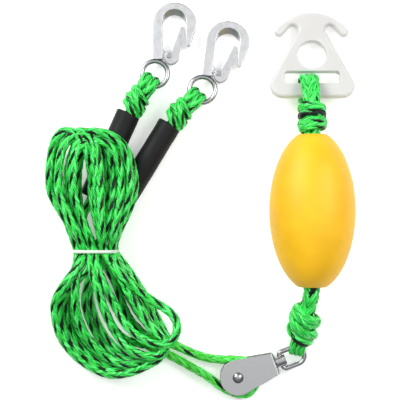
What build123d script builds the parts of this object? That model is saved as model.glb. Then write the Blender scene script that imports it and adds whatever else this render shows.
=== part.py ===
from build123d import *
from math import asin, atan, cos, degrees, radians, sin, sqrt, tan
import os

# Boat tow harness, laid out on a flat surface at z = 0. Millimetres, +Z up.
# Two snap hooks end a long rope that is wound into a tied hank and runs round a pulley block.
# The block's swivel eye carries a short tow leg with a float and a quick connector.

# ---------------------------------------------------------------- driving sizes
ROPE_D = 8.0
HOOK_THICKNESS = 9.5
SHANK_WIDTH = 9.9
HOOK_HEIGHT = 69.8
HOOK_WIDTH = 42.9
HOOK_TILT = 4.5
RING_R = 12.6
RING_WIRE_D = 5.0
GATE_THICKNESS = 7.6
GATE_SHEET = 1.0
GATE_PIN_R = 1.6
KNOT_R = 12.4
KNOT_LENGTH = 25.6
SLEEVE_R = 11.9
SLEEVE_BORE_R = 5.0
SLEEVE_LENGTH = 90.0
SLEEVE_TRAVEL = 15.0

CHEEK_R = 17.5
SHELL_SHEET = 1.5
SHELL_LENGTH = 40.0
SHELL_END_WIDTH = 20.6
SHEAVE_R = 16.0
SHEAVE_WIDTH = 9.6
AXLE_R = 4.0
BUSH_WALL = 1.5
WASHER_THICKNESS = 0.6
RIVET_HEAD_R = 5.3
RIVET_HEAD_HEIGHT = 2.4
SWIVEL_PIN_R = 3.0
SWIVEL_WIRE_D = 4.8
SWIVEL_WIDTH = 17.0
SWIVEL_REACH = 23.4

FLOAT_LENGTH = 145.4
FLOAT_R = 41.0
FLOAT_PROFILE_HALF = 77.0
TOW_ROPE_R = 8.4
TOW_KNOT_R = 14.0
TOW_KNOT_LENGTH = 40.0
STOP_KNOT_R = 14.4
STOP_KNOT_LENGTH = 30.0

CONNECTOR_THICKNESS = 10.0
CONNECTOR_TILT = 10.0
CONNECTOR_HALF_WIDTH = 41.4
CONNECTOR_HOLE_R = 14.0
BAR_WIDTH = 13.8
SLOT_HEIGHT = 11.8
SLOT_LENGTH = 53.4
LOOP_WIDTH = 21.0
LOOP_WALL = 6.0

HANK_LOW_HEIGHT = 26.0
HANK_HIGH_HEIGHT = 44.0
TIE_WIDTH = 2.6
TIE_DEPTH = 2.0

# ---------------------------------------------------------------- clearances
SOFT_GAP = 0.3
RUN_GAP = 0.06
EYE_GAP = 1.1

# ---------------------------------------------------------------- places on the surface
# Each hook: ring centre, lean of the shank to the right, and the top of the sleeve's axis.
SIDES = {
    "left": {"ring": (-60.8, 122.2), "lean": 0.0, "sleeve": (-86.2, 83.7), "sleeve_turn": 246.0},
    "right": {"ring": (-14.3, 106.6), "lean": 7.0, "sleeve": (-45.9, 73.0), "sleeve_turn": 238.5},
}
BLOCK_XY = (20.4, -174.3)
BLOCK_TURN = 20.3
FLOAT_XY = (90.4, -11.3)
BAR_XY = (92.3, 104.6)
LOOP_X = 88.9
EYE_TURN = 78.0
WAIST_Y = -50.6

ROPE_R = ROPE_D / 2
RING_Z = HOOK_THICKNESS / 2 + HOOK_HEIGHT * sin(radians(HOOK_TILT))
BLOCK_HALF = SHEAVE_WIDTH / 2 + WASHER_THICKNESS + 2 * RUN_GAP + SHELL_SHEET
BLOCK_Z = BLOCK_HALF + RIVET_HEAD_HEIGHT
ROPE_ROUND_R = SHEAVE_R + 1.0
FLOAT_Z = FLOAT_R

os.makedirs("parts", exist_ok=True)


def save(part, name):
    part.label = name
    export_step(part, f"parts/{name}.step")


def unit(turn, rise=0.0):
    """Direction that points at a turn about Z from +X, raised by a slope."""
    flat = cos(radians(rise))
    return Vector(flat * cos(radians(turn)), flat * sin(radians(turn)), sin(radians(rise)))


def report_run(name, tube, run):
    """Print how much of a swept tube's expected volume was made."""
    length = sum(edge.length for edge in run.edges())
    print(name, "volume", round(tube.part.volume), "length", round(length, 1))


def corner_radii(points):
    """Fillet radius of each corner: 0.45 of the shorter run over the tangent of half the turn."""
    radii = []
    for before, corner, after in zip(points, points[1:], points[2:]):
        first = Vector(*corner) - Vector(*before)
        second = Vector(*after) - Vector(*corner)
        half_turn = radians(first.get_angle(second)) / 2
        radii.append(0.45 * min(first.length, second.length) / tan(half_turn))
    return radii


def knot_body(centre, direction, length, radius, neck_r):
    """Egg-shaped body of a knot: an ellipse turned about the rope's axis, flat where the rope leaves."""
    half_long = length / 2 / sqrt(1 - (neck_r / radius) ** 2)
    neck_turn = degrees(asin(neck_r / radius))
    across = direction.cross(Vector(0, 0, 1)).normalized()
    with BuildPart() as knot:
        with BuildSketch(Plane(origin=centre, x_dir=direction, z_dir=direction.cross(across))):
            with BuildLine():
                egg = EllipticalCenterArc((0, 0), half_long, radius, neck_turn, arc_size=180 - 2 * neck_turn)
                Polyline(egg @ 0, (length / 2, 0), (-length / 2, 0), egg @ 1)
            make_face()
        revolve(axis=Axis(centre, direction))
    return knot.part


def bight(wire_point, direction, bend_r, leg, strand_r, offsets):
    """Strands that come along a direction, turn round a wire and go back, one for each offset."""
    across = direction.cross(Vector(0, 0, 1)).normalized()
    with BuildPart() as strands:
        for offset in offsets:
            bend_plane = Plane(origin=wire_point + across * offset, x_dir=direction, z_dir=across)
            with BuildLine(bend_plane) as path:
                Line((-leg, bend_r), (0, bend_r))
                ThreePointArc((0, bend_r), (bend_r, 0), (0, -bend_r))
                Line((0, -bend_r), (-leg, -bend_r))
            with BuildSketch(Plane(origin=path.line @ 0, z_dir=path.line % 0)):
                Circle(strand_r)
            sweep(path=path.line)
    return strands.part


# ================================================================ hank of rope
HANK_OUTLINE = [
    (-166.7, 32.8), (-158.4, 57.0), (-125.4, 70.6), (-96.3, 59.9), (-75.0, 19.2), (-79.4, -8.0),
    (-96.5, -36.0), (-96.8, WAIST_Y), (-86.6, -65.2), (-63.4, -98.2), (-48.4, -128.0),
    (-45.4, -146.0), (-65.3, -161.2), (-107.0, -178.2), (-147.8, -158.3), (-165.2, -113.7),
    (-157.4, -83.6), (-138.7, WAIST_Y), (-142.4, -33.0), (-162.3, 3.7),
]
HANK_TOP_Y = 70.6
HANK_BOTTOM_Y = -178.2
HANK_EDGE_R = 6.0
WAIST_WIDTH = 41.9
WAIST_X = -117.75
WAIST_HEIGHT = 33.0

hank_slope = degrees(atan((HANK_HIGH_HEIGHT - HANK_LOW_HEIGHT) / (HANK_TOP_Y - HANK_BOTTOM_Y)))

with BuildPart() as rope_hank:
    with BuildSketch(Plane.XY):
        with BuildLine():
            Spline(*HANK_OUTLINE, periodic=True)
        make_face()
    extrude(amount=HANK_HIGH_HEIGHT + 5)
    slope_plane = Plane(
        origin=(0, HANK_BOTTOM_Y, HANK_LOW_HEIGHT), x_dir=(1, 0, 0), z_dir=unit(-90, 90 - hank_slope)
    )
    split(bisect_by=slope_plane, keep=Keep.BOTTOM)
    fillet(rope_hank.faces().sort_by(Axis.Z)[-1].edges(), HANK_EDGE_R)
    # Channels that the sleeves lie in and slide along.
    for side in SIDES.values():
        along = unit(side["sleeve_turn"])
        channel_r = SLEEVE_R + EYE_GAP
        top = Vector(*side["sleeve"], SLEEVE_R + 0.1)
        with BuildSketch(Plane(origin=top, x_dir=along.cross(Vector(0, 0, 1)), z_dir=along)):
            Circle(channel_r)
            with Locations((0, -channel_r / 2), (0, channel_r / 2)):
                Rectangle(2 * channel_r, channel_r)
        extrude(amount=SLEEVE_LENGTH + SLEEVE_TRAVEL + 2, mode=Mode.SUBTRACT)
    # Groove that the tie bites into.
    with BuildSketch(Plane(origin=(WAIST_X, WAIST_Y, 0), x_dir=(1, 0, 0), z_dir=(0, 1, 0))):
        Rectangle(WAIST_WIDTH * 2, HANK_HIGH_HEIGHT * 4)
        with Locations((0, -WAIST_HEIGHT / 2)):
            RectangleRounded(WAIST_WIDTH - 2 * TIE_DEPTH, WAIST_HEIGHT - 2 * TIE_DEPTH, 9, mode=Mode.SUBTRACT)
    extrude(amount=TIE_WIDTH / 2 + RUN_GAP, both=True, mode=Mode.SUBTRACT)
save(rope_hank.part, "rope_hank")

with BuildPart() as hank_tie:
    with BuildSketch(Plane(origin=(WAIST_X, WAIST_Y, 0), x_dir=(1, 0, 0), z_dir=(0, 1, 0))):
        with Locations((0, -WAIST_HEIGHT / 2)):
            RectangleRounded(WAIST_WIDTH, WAIST_HEIGHT, 9 + TIE_DEPTH)
            RectangleRounded(WAIST_WIDTH - 2 * TIE_DEPTH, WAIST_HEIGHT - 2 * TIE_DEPTH, 9, mode=Mode.SUBTRACT)
    extrude(amount=TIE_WIDTH / 2, both=True)
save(hank_tie.part, "hank_tie")


# ================================================================ hooks, knots and sleeves
SHANK_LEFT = -2.4
SHANK_RIGHT = SHANK_LEFT + SHANK_WIDTH
BOW_SIDE_Y = 50.0
BOW_X = SHANK_LEFT + HOOK_WIDTH / 2
BOW_RIGHT = SHANK_LEFT + HOOK_WIDTH
SADDLE_R = BOW_X - SHANK_RIGHT
SADDLE_TOP_Y = 52.0
SADDLE_MIDDLE_Y = 46.3
PIVOT = (13.9, 17.3)
TANG_R = 4.0
TANG_LOW = -2.6
TANG_HIGH = 0.1
PIN_HEAD_R = 2.7
PIN_HEAD_HEIGHT = 0.8
SPRING_WIRE_R = 0.35
SPRING_R = GATE_PIN_R + 0.9
SPRING_PITCH = 0.72
SPRING_TURNS = 2.5
SPRING_LOW_LEG = 3.4
SPRING_HIGH_LEG = 3.6
EYE_STRAND_R = 3.3
EYE_STRAND_OFFSET = 4.0
EYE_LEG = 14.0
KNOT_GAP = 1.1


def hook_outline(saddle_y):
    """Closed outline of the hook's plate, with the bow's inner arc centred at a height."""
    left = Line((SHANK_LEFT, 13.7), (SHANK_LEFT, BOW_SIDE_Y))
    bow = ThreePointArc(left @ 1, (BOW_X, HOOK_HEIGHT), (BOW_RIGHT, BOW_SIDE_Y))
    cheek = ThreePointArc(bow @ 1, (39.8, 44.4), (37.8, 38.4))
    nose = Line(cheek @ 1, (34.9, 28.7))
    tip = ThreePointArc(nose @ 1, (33.3, 26.6), (31.6, 28.8))
    inner_nose = Line(tip @ 1, (30.5, 34.0))
    inner_side = Line(inner_nose @ 1, (BOW_X + SADDLE_R, saddle_y))
    saddle = ThreePointArc(inner_side @ 1, (BOW_X, saddle_y + SADDLE_R), (SHANK_RIGHT, saddle_y))
    right = Line(saddle @ 1, (SHANK_RIGHT, 13.7))
    Line(right @ 1, left @ 0)


GATE_LEFT_EDGE = ((16.4, 22.0), (25.4, 46.4))
GATE_RIGHT_EDGE = ((24.2, 18.5), (30.0, 45.0))


def hook_plane(side):
    """Plane of a hook: origin at the ring's centre, +y along the shank, which dips to the surface."""
    along = unit(90 - side["lean"], -HOOK_TILT)
    right = unit(-side["lean"])
    return Plane(origin=(*side["ring"], RING_Z), x_dir=right, z_dir=right.cross(along))


for name, side in SIDES.items():
    plane = hook_plane(side)
    half = HOOK_THICKNESS / 2

    with BuildPart() as hook_ring:
        with BuildSketch(Plane(origin=plane.origin, x_dir=plane.x_dir, z_dir=-plane.y_dir)):
            with Locations((RING_R, 0)):
                Circle(RING_WIRE_D / 2)
        revolve(axis=Axis(plane.origin, plane.z_dir))
    save(hook_ring.part, f"hook_ring_{name}")

    with BuildPart() as hook_body:
        for level in (half, -half):
            with BuildSketch(plane):
                with BuildLine():
                    hook_outline(SADDLE_MIDDLE_Y)
                make_face()
            with BuildSketch(plane.offset(level)):
                with BuildLine():
                    hook_outline(SADDLE_TOP_Y)
                make_face()
            loft(ruled=True)
        # Tang between the gate's cheeks.
        with BuildSketch(plane.offset(TANG_LOW)):
            with BuildLine():
                tang_high = (SHANK_RIGHT - 0.5, 25.0)
                tang_low = (SHANK_RIGHT - 0.5, 14.2)
                Polyline(tang_high, (10.0, 21.6), PIVOT, (14.0, 13.3), tang_low, close=True)
            make_face()
            with Locations(PIVOT):
                Circle(TANG_R)
        extrude(amount=TANG_HIGH - TANG_LOW)
        with BuildSketch(plane.offset(TANG_LOW - 1)):
            with Locations(PIVOT):
                Circle(GATE_PIN_R)
        extrude(amount=TANG_HIGH - TANG_LOW + 2, mode=Mode.SUBTRACT)
        add(hook_ring.part, mode=Mode.SUBTRACT)
    save(hook_body.part, f"hook_body_{name}")

    with BuildPart() as gate:
        with BuildSketch(plane.offset(-GATE_THICKNESS / 2)):
            with BuildLine():
                web = Line(GATE_LEFT_EDGE[1], GATE_LEFT_EDGE[0])
                shoulder = ThreePointArc(web @ 1, (13.4, 21.8), (9.9, 18.6))
                boss = ThreePointArc(shoulder @ 1, (10.6, 12.4), (15.4, 9.0))
                heel = ThreePointArc(boss @ 1, (21.3, 11.6), GATE_RIGHT_EDGE[0])
                Polyline(heel @ 1, GATE_RIGHT_EDGE[1], web @ 0)
            make_face()
        extrude(amount=GATE_THICKNESS)
        # Inside of the channel: the web stays on the side that faces the hook's eye.
        web_low = Vector(*GATE_LEFT_EDGE[0])
        web_run = (Vector(*GATE_LEFT_EDGE[1]) - web_low).normalized()
        inward = Vector(web_run.Y, -web_run.X) * GATE_SHEET
        low = web_low + inward + web_run * 0.3
        high = web_low + inward + web_run * 40
        with BuildSketch(plane.offset(-GATE_THICKNESS / 2 + GATE_SHEET)):
            with BuildLine():
                Polyline(
                    (low.X, low.Y), (high.X, high.Y), (60, high.Y), (60, 0), (0, 0), (0, low.Y), close=True
                )
            make_face()
        extrude(amount=GATE_THICKNESS - 2 * GATE_SHEET, mode=Mode.SUBTRACT)
        with BuildSketch(plane.offset(-GATE_THICKNESS)):
            with Locations(PIVOT):
                Circle(GATE_PIN_R + RUN_GAP)
        extrude(amount=2 * GATE_THICKNESS, mode=Mode.SUBTRACT)
    save(gate.part, f"gate_{name}")

    with BuildPart() as gate_pin:
        with BuildSketch(plane.offset(-GATE_THICKNESS / 2 - RUN_GAP)):
            with Locations(PIVOT):
                Circle(GATE_PIN_R)
        extrude(amount=GATE_THICKNESS + 2 * RUN_GAP)
        for level, height in ((GATE_THICKNESS / 2 + RUN_GAP, 1), (-GATE_THICKNESS / 2 - RUN_GAP, -1)):
            with BuildSketch(plane.offset(level)):
                with Locations(PIVOT):
                    Circle(PIN_HEAD_R)
            extrude(amount=height * PIN_HEAD_HEIGHT, taper=25)
    save(gate_pin.part, f"gate_pin_{name}")

    coil_origin = plane.from_local_coords(Vector(*PIVOT, TANG_HIGH + SPRING_WIRE_R + 0.1))
    coil_plane = Plane(origin=coil_origin, x_dir=plane.x_dir, z_dir=plane.z_dir)
    with BuildPart() as gate_spring:
        with BuildLine(coil_plane) as coil:
            Helix(pitch=SPRING_PITCH, height=SPRING_PITCH * SPRING_TURNS, radius=SPRING_R)
        with BuildSketch(Plane(origin=coil.line @ 0, z_dir=coil.line % 0)):
            Circle(SPRING_WIRE_R)
        sweep(path=coil.line, is_frenet=True)
        for end, leg_length in ((coil.line @ 0, -SPRING_LOW_LEG), (coil.line @ 1, SPRING_HIGH_LEG)):
            with BuildSketch(Plane(origin=end, z_dir=plane.y_dir)):
                Circle(SPRING_WIRE_R)
            extrude(amount=leg_length)
    save(gate_spring.part, f"gate_spring_{name}")

    sleeve_top = Vector(*side["sleeve"], SLEEVE_R + 0.1)
    ring_centre = Vector(*side["ring"], sleeve_top.Z)
    to_ring = (ring_centre - sleeve_top).normalized()
    down_rope = unit(side["sleeve_turn"])
    ring_distance = (ring_centre - sleeve_top).length
    wire_point = sleeve_top + to_ring * (ring_distance - RING_R * 0.93)
    wire_point.Z = RING_Z + RING_R * sin(radians(HOOK_TILT)) * 0.82

    knot_centre = sleeve_top + to_ring * (KNOT_GAP + KNOT_LENGTH / 2) + Vector(0, 0, KNOT_R - SLEEVE_R)
    knot = knot_body(knot_centre, to_ring, KNOT_LENGTH, KNOT_R, 4.3)
    eye_bend_r = RING_WIRE_D / 2 + EYE_GAP + EYE_STRAND_R
    eye_offsets = (-EYE_STRAND_OFFSET, EYE_STRAND_OFFSET)
    strands = bight(wire_point, to_ring, eye_bend_r, EYE_LEG, EYE_STRAND_R, eye_offsets)
    with BuildPart() as hook_knot:
        add(knot)
        add(strands)
    save(hook_knot.part, f"hook_knot_{name}")

    with BuildPart() as sleeve:
        with BuildSketch(Plane(origin=sleeve_top, z_dir=down_rope)):
            Circle(SLEEVE_R)
            Circle(SLEEVE_BORE_R, mode=Mode.SUBTRACT)
        extrude(amount=SLEEVE_LENGTH)
        chamfer(sleeve.edges().filter_by(GeomType.CIRCLE), 0.5)
    save(sleeve.part, f"sleeve_{name}")

    with BuildPart() as sleeve_rope:
        with BuildSketch(Plane(origin=sleeve_top - down_rope * 6, z_dir=down_rope)):
            Circle(ROPE_R)
        extrude(amount=SLEEVE_LENGTH + SLEEVE_TRAVEL + 2 + 6)
        add(hook_knot.part, mode=Mode.SUBTRACT)
    save(sleeve_rope.part, f"sleeve_rope_{name}")


# ================================================================ pulley block
block_axis = unit(BLOCK_TURN)
block_centre = Vector(*BLOCK_XY, BLOCK_Z)
block_plane = Plane(origin=block_centre, x_dir=block_axis, z_dir=(0, 0, 1))
across_plane = Plane(origin=block_centre, x_dir=block_plane.y_dir, z_dir=block_axis)
inner_half = BLOCK_HALF - SHELL_SHEET
SHEAVE_BORE_R = AXLE_R + RUN_GAP / 2 + BUSH_WALL + RUN_GAP

with BuildPart() as block_shell:
    with BuildSketch(block_plane.offset(-BLOCK_HALF)):
        Circle(CHEEK_R)
        with Locations((SHELL_LENGTH - 2, 0)):
            Rectangle(4, SHELL_END_WIDTH)
        make_hull()
    extrude(amount=2 * BLOCK_HALF)
    end_edges = block_shell.edges().filter_by(Axis((0, 0, 0), block_plane.y_dir))
    fillet(end_edges, 3.1)
    side_origin = block_centre - block_plane.y_dir * 30
    with BuildSketch(Plane(origin=side_origin, x_dir=block_axis, z_dir=block_plane.y_dir)):
        with Locations((SHELL_LENGTH - SHELL_SHEET - 40, 0)):
            RectangleRounded(80, 2 * inner_half, 1.6)
        with Locations((-30, 0)):
            Rectangle(40, 2 * inner_half)
    extrude(amount=60, mode=Mode.SUBTRACT)
    with BuildSketch(block_plane.offset(-BLOCK_HALF - 1)):
        Circle(AXLE_R)
    extrude(amount=2 * BLOCK_HALF + 2, mode=Mode.SUBTRACT)
    with BuildSketch(across_plane.offset(SHELL_LENGTH - 2 * SHELL_SHEET)):
        Circle(SWIVEL_PIN_R + RUN_GAP)
    extrude(amount=4 * SHELL_SHEET, mode=Mode.SUBTRACT)
save(block_shell.part, "block_shell")

with BuildPart() as sheave:
    with BuildSketch(Plane(origin=block_centre, x_dir=block_axis, z_dir=-block_plane.y_dir)):
        with Locations(((SHEAVE_BORE_R + SHEAVE_R) / 2, 0)):
            Rectangle(SHEAVE_R - SHEAVE_BORE_R, SHEAVE_WIDTH)
        with Locations((ROPE_ROUND_R, 0)):
            Circle(ROPE_R + SOFT_GAP, mode=Mode.SUBTRACT)
    revolve(axis=Axis(block_centre, (0, 0, 1)))
save(sheave.part, "sheave")

with BuildPart() as sheave_bush:
    with BuildSketch(block_plane.offset(-SHEAVE_WIDTH / 2)):
        Circle(AXLE_R + RUN_GAP / 2 + BUSH_WALL)
        Circle(AXLE_R + RUN_GAP / 2, mode=Mode.SUBTRACT)
    extrude(amount=SHEAVE_WIDTH)
save(sheave_bush.part, "sheave_bush")

with BuildPart() as sheave_washers:
    for level in (SHEAVE_WIDTH / 2 + RUN_GAP, -SHEAVE_WIDTH / 2 - RUN_GAP - WASHER_THICKNESS):
        with BuildSketch(block_plane.offset(level)):
            Circle(AXLE_R + 4.5)
            Circle(AXLE_R + RUN_GAP / 2, mode=Mode.SUBTRACT)
        extrude(amount=WASHER_THICKNESS)
save(sheave_washers.part, "sheave_washers")

dome_r = (RIVET_HEAD_HEIGHT**2 + RIVET_HEAD_R**2) / (2 * RIVET_HEAD_HEIGHT)
dome_mid_x = RIVET_HEAD_R / 2
dome_mid_y = BLOCK_HALF + RIVET_HEAD_HEIGHT - dome_r + sqrt(dome_r**2 - dome_mid_x**2)
rivet_top = BLOCK_HALF + RIVET_HEAD_HEIGHT
with BuildPart() as block_rivet:
    with BuildSketch(Plane(origin=block_centre, x_dir=block_axis, z_dir=-block_plane.y_dir)):
        with BuildLine():
            ThreePointArc((0, rivet_top), (dome_mid_x, dome_mid_y), (RIVET_HEAD_R, BLOCK_HALF))
            shank = Line((AXLE_R, BLOCK_HALF), (AXLE_R, -BLOCK_HALF))
            Line((RIVET_HEAD_R, BLOCK_HALF), shank @ 0)
            Line(shank @ 1, (RIVET_HEAD_R, -BLOCK_HALF))
            ThreePointArc((RIVET_HEAD_R, -BLOCK_HALF), (dome_mid_x, -dome_mid_y), (0, -rivet_top))
            Line((0, -rivet_top), (0, rivet_top))
        make_face()
    revolve(axis=Axis(block_centre, (0, 0, 1)))
save(block_rivet.part, "block_rivet")

# Swivel: a headed stem turns in the shell's end and is fixed in the base of the D-shaped eye.
STEM_HEAD_R = 4.2
STEM_HEAD_LENGTH = 2.6
BOSS_R = 5.2
EYE_BASE_X = SHELL_LENGTH + WASHER_THICKNESS + 2 * RUN_GAP + BOSS_R - 0.6
BOSS_HALF = EYE_BASE_X - SHELL_LENGTH - WASHER_THICKNESS - 2 * RUN_GAP
BOW_R = SWIVEL_WIDTH / 2
BOW_CENTRE_X = EYE_BASE_X + SWIVEL_REACH - BOW_R
SWIVEL_WIRE_R = SWIVEL_WIRE_D / 2

with BuildPart() as swivel_stem:
    with BuildSketch(across_plane.offset(SHELL_LENGTH - SHELL_SHEET - RUN_GAP - STEM_HEAD_LENGTH)):
        Circle(STEM_HEAD_R)
    extrude(amount=STEM_HEAD_LENGTH)
    with BuildSketch(across_plane.offset(SHELL_LENGTH - SHELL_SHEET - RUN_GAP)):
        Circle(SWIVEL_PIN_R)
    extrude(amount=EYE_BASE_X + BOSS_HALF - SHELL_LENGTH + SHELL_SHEET + RUN_GAP)
save(swivel_stem.part, "swivel_stem")

with BuildPart() as swivel_washer:
    with BuildSketch(across_plane.offset(SHELL_LENGTH + RUN_GAP)):
        Circle(BOSS_R)
        Circle(SWIVEL_PIN_R + RUN_GAP, mode=Mode.SUBTRACT)
    extrude(amount=WASHER_THICKNESS)
save(swivel_washer.part, "swivel_washer")

with BuildPart() as swivel_eye:
    # The wire's two ends meet inside the boss.
    far_x = BOW_CENTRE_X + BOW_R
    eye_points = [
        (EYE_BASE_X, 0), (EYE_BASE_X, BOW_R), (far_x, BOW_R),
        (far_x, -BOW_R), (EYE_BASE_X, -BOW_R), (EYE_BASE_X, -0.4),
    ]
    with BuildLine(block_plane) as wire:
        FilletPolyline(*eye_points, radius=[3.0, BOW_R - 0.2, BOW_R - 0.2, 3.0])
    with BuildSketch(Plane(origin=wire.line @ 0, z_dir=wire.line % 0)):
        Circle(SWIVEL_WIRE_R)
    sweep(path=wire.line)
    with BuildSketch(across_plane.offset(EYE_BASE_X - BOSS_HALF)):
        Circle(BOSS_R)
    extrude(amount=2 * BOSS_HALF)
    with BuildSketch(across_plane.offset(EYE_BASE_X - BOSS_HALF - 1)):
        Circle(SWIVEL_PIN_R)
    extrude(amount=2 * BOSS_HALF + 2, mode=Mode.SUBTRACT)
save(swivel_eye.part, "swivel_eye")


# ================================================================ rope round the sheave
# Down from the hank, over the top of the sheave, round its far side and back to the hank.
leave_turn = 233.0
round_steps = 3
step_turn = (360 + 90 - leave_turn) / round_steps
corner_r = ROPE_ROUND_R / cos(radians(step_turn / 2))
round_corners = [
    (
        BLOCK_XY[0] + corner_r * cos(radians(90 - step_turn * (step + 0.5))),
        BLOCK_XY[1] + corner_r * sin(radians(90 - step_turn * (step + 0.5))),
        BLOCK_Z,
    )
    for step in range(round_steps)
]
FLOOR_ROPE_Z = ROPE_R + 0.2
block_route = [
    (-69.9, -134.0, FLOOR_ROPE_Z),
    (-46.9, -141.0, FLOOR_ROPE_Z),
    (-25.9, -151.0, FLOOR_ROPE_Z + 1.5),
    (-4.9, BLOCK_XY[1] + ROPE_ROUND_R - 0.4, BLOCK_Z - 0.6),
    *round_corners,
    (-8.9, -173.6, BLOCK_Z - 0.6),
    (-28.9, -163.0, FLOOR_ROPE_Z + 1.5),
    (-49.9, -151.5, FLOOR_ROPE_Z),
    (-71.9, -143.0, FLOOR_ROPE_Z),
]
block_radii = corner_radii(block_route)
first_round = block_route.index(round_corners[0]) - 1
for step in range(round_steps):
    block_radii[first_round + step] = ROPE_ROUND_R
print("block rope radii", [round(radius, 1) for radius in block_radii])
with BuildPart() as block_rope:
    with BuildLine() as run:
        FilletPolyline(*block_route, radius=block_radii)
    with BuildSketch(Plane(origin=run.line @ 0, z_dir=run.line % 0)):
        Circle(ROPE_R)
    sweep(path=run.line)
    report_run("block rope", block_rope, run)
    add(rope_hank.part, mode=Mode.SUBTRACT)
save(block_rope.part, "block_rope")

side_route = [
    (-69.9, -98.5, 13.0),
    (-54.9, -103.0, 13.0),
    (-42.4, -112.0, 12.5),
    (-38.1, -124.0, 12.5),
    (-44.9, -135.5, 13.0),
    (-58.9, -140.0, 13.0),
    (-73.9, -137.0, 13.0),
]
side_radii = corner_radii(side_route)
print("side loop radii", [round(radius, 1) for radius in side_radii])
with BuildPart() as side_loop:
    with BuildLine() as run:
        FilletPolyline(*side_route, radius=side_radii)
    with BuildSketch(Plane(origin=run.line @ 0, z_dir=run.line % 0)):
        Circle(ROPE_R)
    sweep(path=run.line)
    report_run("side loop", side_loop, run)
    add(rope_hank.part, mode=Mode.SUBTRACT)
save(side_loop.part, "side_loop")


# ================================================================ tow leg
bow_centre = block_centre + block_axis * BOW_CENTRE_X
crossing = bow_centre + unit(EYE_TURN) * BOW_R
float_low_y = FLOAT_XY[1] - FLOAT_LENGTH / 2
float_high_y = FLOAT_XY[1] + FLOAT_LENGTH / 2
rope_bend = Vector(FLOAT_XY[0], float_low_y - 5.0, FLOAT_Z)
leg = (rope_bend - crossing).normalized()
tow_strand_r = 3.2
tow_bend_r = SWIVEL_WIRE_R + 0.6 + tow_strand_r
knot_low = tow_bend_r + 1.5
tow_knot_centre = crossing + leg * (knot_low + TOW_KNOT_LENGTH / 2)
tow_body = knot_body(tow_knot_centre, leg, TOW_KNOT_LENGTH, TOW_KNOT_R, TOW_ROPE_R + 0.2)
tow_strand = bight(crossing, -leg, tow_bend_r, 16.0, tow_strand_r, (0.0,))
with BuildPart() as tow_knot:
    add(tow_body)
    add(tow_strand)
save(tow_knot.part, "tow_knot")

with BuildPart() as tow_float:
    with BuildSketch(Plane(origin=(*FLOAT_XY, FLOAT_Z), x_dir=(0, 1, 0), z_dir=(0, 0, 1))):
        with BuildLine():
            end_turn = degrees(asin(sqrt(1 - (FLOAT_LENGTH / 2 / FLOAT_PROFILE_HALF) ** 2)))
            shape = EllipticalCenterArc(
                (0, 0), FLOAT_PROFILE_HALF, FLOAT_R, end_turn, arc_size=180 - 2 * end_turn
            )
            bore_r = TOW_ROPE_R + SOFT_GAP
            Polyline(shape @ 0, (FLOAT_LENGTH / 2, bore_r), (-FLOAT_LENGTH / 2, bore_r), shape @ 1)
        make_face()
    revolve(axis=Axis((*FLOAT_XY, FLOAT_Z), (0, 1, 0)))
    fillet(tow_float.edges().group_by(Axis.Y)[0] + tow_float.edges().group_by(Axis.Y)[-1], 1.2)
save(tow_float.part, "float")

# Stop knot and the loop of rope that holds the connector's bar.
STOP_KNOT_DIP = 12.0
CONNECTOR_REACH = 79.0
bar_rise = CONNECTOR_THICKNESS / 2 * cos(radians(CONNECTOR_TILT))
bar_z = bar_rise + CONNECTOR_REACH * sin(radians(CONNECTOR_TILT))
bar_centre = Vector(LOOP_X, BAR_XY[1], bar_z)
float_top = Vector(FLOAT_XY[0], float_high_y + SOFT_GAP, FLOAT_Z)
stop_centre = float_top + Vector(0, STOP_KNOT_LENGTH / 2, -2.5)
stop_axis = unit(90, -STOP_KNOT_DIP)
stop_body = knot_body(
    stop_centre + Vector(0, 1.6, 0), stop_axis, STOP_KNOT_LENGTH, STOP_KNOT_R, TOW_ROPE_R + 0.2
)
to_knot = stop_centre - bar_centre
loop_run = Vector(0, to_knot.Y, to_knot.Z).normalized()
loop_inner_r = BAR_WIDTH / 2 + 1.5
loop_length = 17.0
with BuildPart() as stop_knot:
    loop_plane = Plane(
        origin=bar_centre - Vector(LOOP_WIDTH / 2, 0, 0), x_dir=loop_run, z_dir=(1, 0, 0)
    )
    with BuildSketch(loop_plane):
        Circle(loop_inner_r + LOOP_WALL)
        with Locations((loop_length / 2, 0)):
            Rectangle(loop_length, 2 * (loop_inner_r + LOOP_WALL))
        Circle(loop_inner_r, mode=Mode.SUBTRACT)
        with Locations(((loop_length - 2) / 2, 0)):
            Rectangle(loop_length - 2, 2 * loop_inner_r, mode=Mode.SUBTRACT)
    extrude(amount=LOOP_WIDTH)
    add(stop_body)
save(stop_knot.part, "stop_knot")

tow_route = [
    tuple(tow_knot_centre + leg * (TOW_KNOT_LENGTH / 2 - 8)),
    tuple(rope_bend + Vector(0, 2.0, 0)),
    (FLOAT_XY[0], float_high_y + 8, FLOAT_Z),
]
tow_radius = 2.4 * TOW_ROPE_R
with BuildPart() as tow_rope:
    with BuildLine() as run:
        FilletPolyline(*tow_route, radius=tow_radius)
    with BuildSketch(Plane(origin=run.line @ 0, z_dir=run.line % 0)):
        Circle(TOW_ROPE_R)
    sweep(path=run.line)
    report_run("tow rope", tow_rope, run)
    add(tow_knot.part, mode=Mode.SUBTRACT)
    add(stop_knot.part, mode=Mode.SUBTRACT)
save(tow_rope.part, "tow_rope")

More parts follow.
